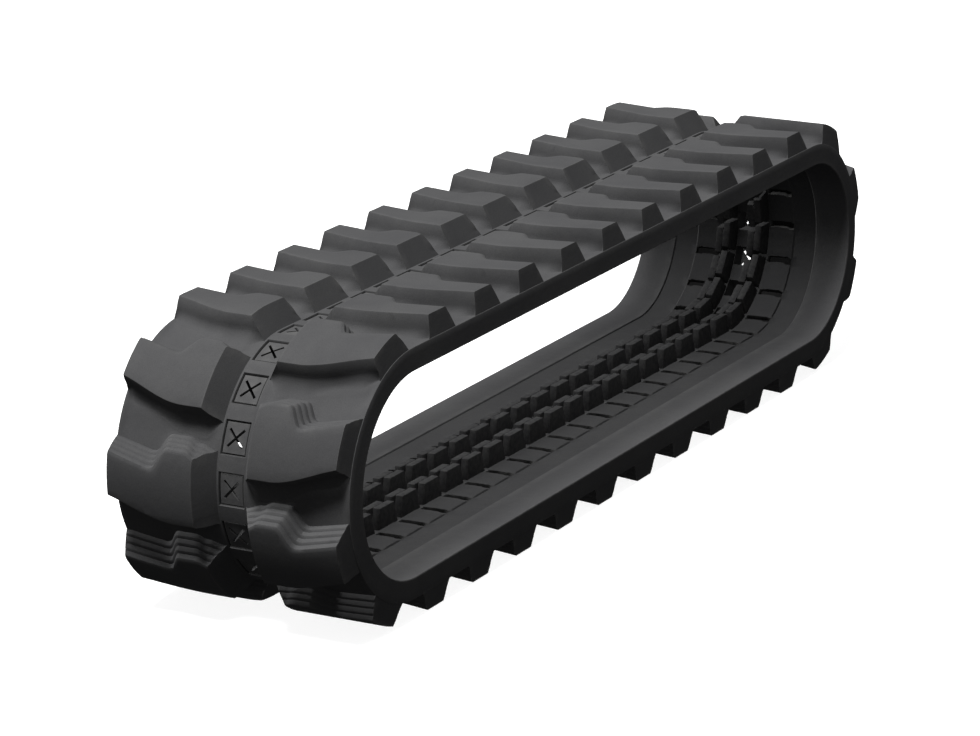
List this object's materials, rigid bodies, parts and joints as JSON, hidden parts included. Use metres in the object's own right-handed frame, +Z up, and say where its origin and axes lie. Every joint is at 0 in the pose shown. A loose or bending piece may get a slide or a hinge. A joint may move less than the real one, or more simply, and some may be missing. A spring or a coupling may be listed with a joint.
{
  "type": "rubber track",
  "caption": "Endless rubber track with staggered tread blocks, moulded over steel cord and forged core bars whose paired guide horns line the inside of the loop.",
  "frame": {"origin": "middle of the ground face under the bottom run, halfway along and across the loop", "axes": "+X along the loop, +Y across the belt, +Z up from the ground towards the top run"},
  "size_m": [1.4092, 0.3, 0.34],
  "materials": {
    "tread_rubber": "matte moulded rubber with a faint grey bloom",
    "forged_core": "dark rubber-bonded forging scale",
    "steel_cord": "brass-washed steel cord"
  },
  "bodies": {
    "bottom_run": {"rubber_bottom_run": "tread_rubber", "cord_ply_bottom_run": "steel_cord", "core_bars_01_02": "forged_core", "core_bars_03_04": "forged_core", "core_bars_05_06": "forged_core", "core_bars_07_08": "forged_core", "core_bars_09_10": "forged_core", "core_bars_11_12": "forged_core", "core_bars_13_14": "forged_core", "core_bars_15_16": "forged_core", "core_bars_17_18": "forged_core", "core_bars_19_20": "forged_core"},
    "far_wrap": {"rubber_far_wrap": "tread_rubber", "cord_ply_far_wrap": "steel_cord", "core_bar_21": "forged_core", "core_bar_22": "forged_core", "core_bar_23": "forged_core", "core_bar_24": "forged_core", "core_bar_25": "forged_core", "core_bar_26": "forged_core", "core_bar_27": "forged_core", "core_bar_28": "forged_core"},
    "top_far_entry": {"rubber_top_far_entry": "tread_rubber", "cord_ply_top_far_entry": "steel_cord", "core_bars_29_30": "forged_core"},
    "top_far_span": {"rubber_top_far_span": "tread_rubber", "cord_ply_top_far_span": "steel_cord", "core_bars_31_32": "forged_core", "core_bars_33_34": "forged_core", "core_bar_35": "forged_core"},
    "top_far_middle": {"rubber_top_far_middle": "tread_rubber", "cord_ply_top_far_middle": "steel_cord", "core_bars_36_37": "forged_core", "core_bar_38": "forged_core"},
    "top_near_middle": {"rubber_top_near_middle": "tread_rubber", "cord_ply_top_near_middle": "steel_cord", "core_bars_39_40": "forged_core", "core_bar_41": "forged_core"},
    "top_near_span": {"rubber_top_near_span": "tread_rubber", "cord_ply_top_near_span": "steel_cord", "core_bars_42_43": "forged_core", "core_bars_44_45": "forged_core", "core_bar_46": "forged_core"},
    "top_near_entry": {"rubber_top_near_entry": "tread_rubber", "cord_ply_top_near_entry": "steel_cord", "core_bars_47_48": "forged_core"},
    "near_wrap": {"rubber_near_wrap": "tread_rubber", "cord_ply_near_wrap": "steel_cord", "core_bar_49": "forged_core", "core_bar_50": "forged_core", "core_bar_51": "forged_core", "core_bar_52": "forged_core", "core_bar_53": "forged_core", "core_bar_54": "forged_core", "core_bar_55": "forged_core", "core_bar_56": "forged_core"}
  },
  "joints": [
    {"name": "roll_bottom_far", "type": "hinge", "parent": "bottom_run", "child": "far_wrap", "pos_m": [0.53, 0, 0.038], "axis": [0, 1, 0], "range_deg": [-10, 10], "stiffness_Nm_per_rad": 100},
    {"name": "roll_bottom_near", "type": "hinge", "parent": "bottom_run", "child": "near_wrap", "pos_m": [-0.53, 0, 0.038], "axis": [0, 1, 0], "range_deg": [-10, 10], "stiffness_Nm_per_rad": 100},
    {"name": "roll_top_far", "type": "hinge", "parent": "far_wrap", "child": "top_far_entry", "pos_m": [0.53, 0, 0.302], "axis": [0, 1, 0], "range_deg": [-10, 10], "stiffness_Nm_per_rad": 100},
    {"name": "roll_top_near", "type": "hinge", "parent": "near_wrap", "child": "top_near_entry", "pos_m": [-0.53, 0, 0.302], "axis": [0, 1, 0], "range_deg": [-10, 10], "stiffness_Nm_per_rad": 100},
    {"name": "sag_far_span", "type": "hinge", "parent": "top_far_entry", "child": "top_far_span", "pos_m": [0.424, 0, 0.302], "axis": [0, -1, 0], "range_deg": [0, 5], "stiffness_Nm_per_rad": 200, "springref_deg": -5.73},
    {"name": "sag_far_middle", "type": "hinge", "parent": "top_far_span", "child": "top_far_middle", "pos_m": [0.159, 0, 0.302], "axis": [0, -1, 0], "range_deg": [-5, 0], "stiffness_Nm_per_rad": 200, "springref_deg": 5.73},
    {"name": "sag_near_span", "type": "hinge", "parent": "top_near_entry", "child": "top_near_span", "pos_m": [-0.424, 0, 0.302], "axis": [0, 1, 0], "range_deg": [0, 5], "stiffness_Nm_per_rad": 200, "springref_deg": -5.73},
    {"name": "sag_near_middle", "type": "hinge", "parent": "top_near_span", "child": "top_near_middle", "pos_m": [-0.159, 0, 0.302], "axis": [0, 1, 0], "range_deg": [-5, 0], "stiffness_Nm_per_rad": 200, "springref_deg": 5.73}
  ],
  "couplings": [
    {"joint": "roll_bottom_near", "follows": "roll_bottom_far", "ratio": 1},
    {"joint": "roll_top_far", "follows": "roll_bottom_far", "ratio": -1},
    {"joint": "roll_top_near", "follows": "roll_bottom_far", "ratio": -1},
    {"joint": "sag_far_middle", "follows": "sag_far_span", "ratio": -1},
    {"joint": "sag_near_span", "follows": "sag_far_span", "ratio": 1},
    {"joint": "sag_near_middle", "follows": "sag_far_span", "ratio": -1}
  ]
}
